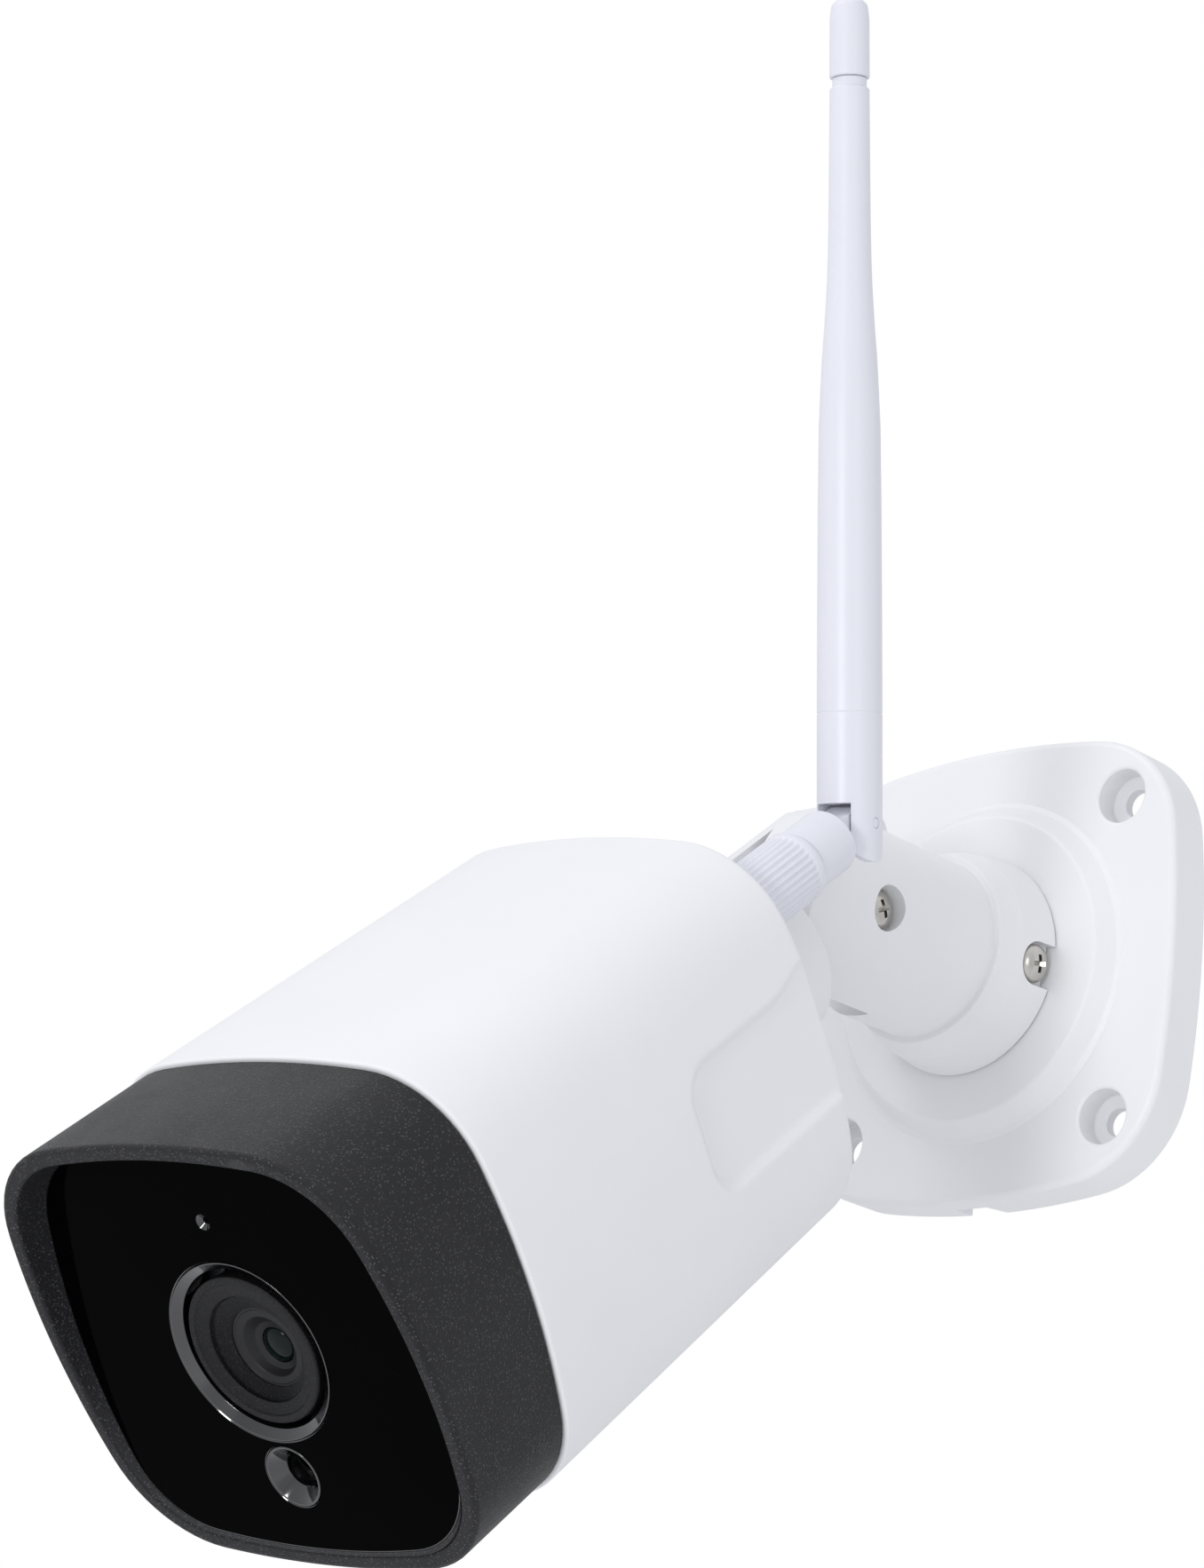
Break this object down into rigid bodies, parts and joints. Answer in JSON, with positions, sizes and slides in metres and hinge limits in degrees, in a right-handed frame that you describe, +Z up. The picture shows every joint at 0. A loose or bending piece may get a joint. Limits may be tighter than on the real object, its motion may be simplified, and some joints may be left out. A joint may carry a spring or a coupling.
{
  "type": "security camera",
  "caption": "Wall-mounted bullet security camera on a three-axis bracket, with a hooded dark front window, central lens and a folding rod antenna.",
  "frame": {"origin": "centre of the wall plate's back face, midway between the four mounting holes", "axes": "+Y points into the wall, along the mounting screws; +Z is up; the camera looks out towards -Y and downwards"},
  "size_m": [0.0732, 0.1717, 0.2267],
  "materials": {
    "white_paint": "satin white coating, very fine texture",
    "bezel_plastic": "dark grey, fine-grained",
    "black_glass": "polished black front panel",
    "gloss_black": "polished black",
    "grey_plastic": "matt grey, grained",
    "black_plastic": "matt black",
    "lens_glass": "coated glass",
    "filter_glass": "coated cyan glass",
    "nickel_steel": "nickel-plated",
    "gold_brass": "plated brass",
    "copper_wire": "bare copper",
    "aluminium": "plain",
    "circuit_board": "solder-masked board",
    "chip_plastic": "moulded package",
    "black_rubber": "matt",
    "antenna_white": "smooth bluish white"
  },
  "bodies": {
    "bracket_base": {"base_plate": "white_paint"},
    "bracket_arm": {"pan_yoke": "white_paint", "pan_lock_screw": "nickel_steel"},
    "bracket_neck": {"tilt_neck": "white_paint", "tilt_screw": "nickel_steel", "tilt_washer": "black_plastic", "tilt_nut": "nickel_steel", "neck_nut": "nickel_steel"},
    "reset_plunger": {"reset_button": "black_plastic"},
    "ir_filter": {"ir_cut_filter": "filter_glass"},
    "antenna_foot": {"antenna_base": "antenna_white"},
    "antenna": {"antenna_mast": "antenna_white", "antenna_cap": "antenna_white", "antenna_radiator": "copper_wire", "antenna_pin": "antenna_white"},
    "camera_head": {"neck_washer": "nickel_steel", "neck_seal": "black_rubber", "rear_cover": "white_paint", "rear_cover_seal": "black_rubber", "rear_cover_screws": "nickel_steel", "housing_shell": "white_paint", "front_bezel": "bezel_plastic", "bezel_seal": "black_rubber", "front_glass": "black_glass", "glass_seal": "black_rubber", "lens_trim_ring": "gloss_black", "lens_shroud": "grey_plastic", "lens_barrel": "black_plastic", "lens_front_element": "lens_glass", "lens_inner_elements": "lens_glass", "lens_holder": "black_plastic", "ir_cut_frame": "black_plastic", "image_sensor": "chip_plastic", "sensor_board": "circuit_board", "infrared_led": "chip_plastic", "led_bezel": "gloss_black", "led_board": "circuit_board", "chassis_plate": "aluminium", "chassis_screws": "nickel_steel", "microphone": "aluminium", "board_standoffs": "gold_brass", "main_board": "circuit_board", "heat_spreader": "aluminium", "wifi_module": "chip_plastic", "antenna_lead": "black_rubber", "card_slot": "nickel_steel", "reset_switch": "black_plastic", "card_cover": "white_paint", "card_cover_seal": "black_rubber", "card_cover_screws": "nickel_steel", "antenna_connector": "gold_brass", "connector_nut": "gold_brass", "connector_washer": "nickel_steel", "antenna_ring": "antenna_white"}
  },
  "joints": [
    {"name": "pan", "type": "hinge", "parent": "bracket_base", "child": "bracket_arm", "pos_m": [0, 0, 0], "axis": [0, 1, 0], "range_deg": [-180, 180]},
    {"name": "tilt", "type": "hinge", "parent": "bracket_arm", "child": "bracket_neck", "pos_m": [0, -0.0462, -0.0023], "axis": [1, 0, 0], "range_deg": [-41.3, 48.7]},
    {"name": "roll", "type": "hinge", "parent": "bracket_neck", "child": "camera_head", "pos_m": [0, -0.0476, 0], "axis": [0, -0.7513, -0.66], "range_deg": [-90, 90]},
    {"name": "antenna_swivel", "type": "hinge", "parent": "camera_head", "child": "antenna_foot", "pos_m": [0.02286, -0.07831, -0.00686], "axis": [0, 0.7513, 0.66], "range_deg": [-60, 120]},
    {"name": "antenna_fold", "type": "hinge", "parent": "antenna_foot", "child": "antenna", "pos_m": [0.02286, -0.06749, 0.00264], "axis": [-0.9936, -0.0747, 0.085], "range_deg": [-27, 63]},
    {"name": "ir_cut_slide", "type": "slide", "parent": "camera_head", "child": "ir_filter", "axis": [0.9936, 0.0747, -0.085], "range_m": [0, 0.0096]},
    {"name": "reset_press", "type": "slide", "parent": "camera_head", "child": "reset_plunger", "axis": [0.1132, -0.6558, 0.7464], "range_m": [0, 0.00035], "stiffness_N_per_m": 900, "springref_m": -0.0004}
  ]
}
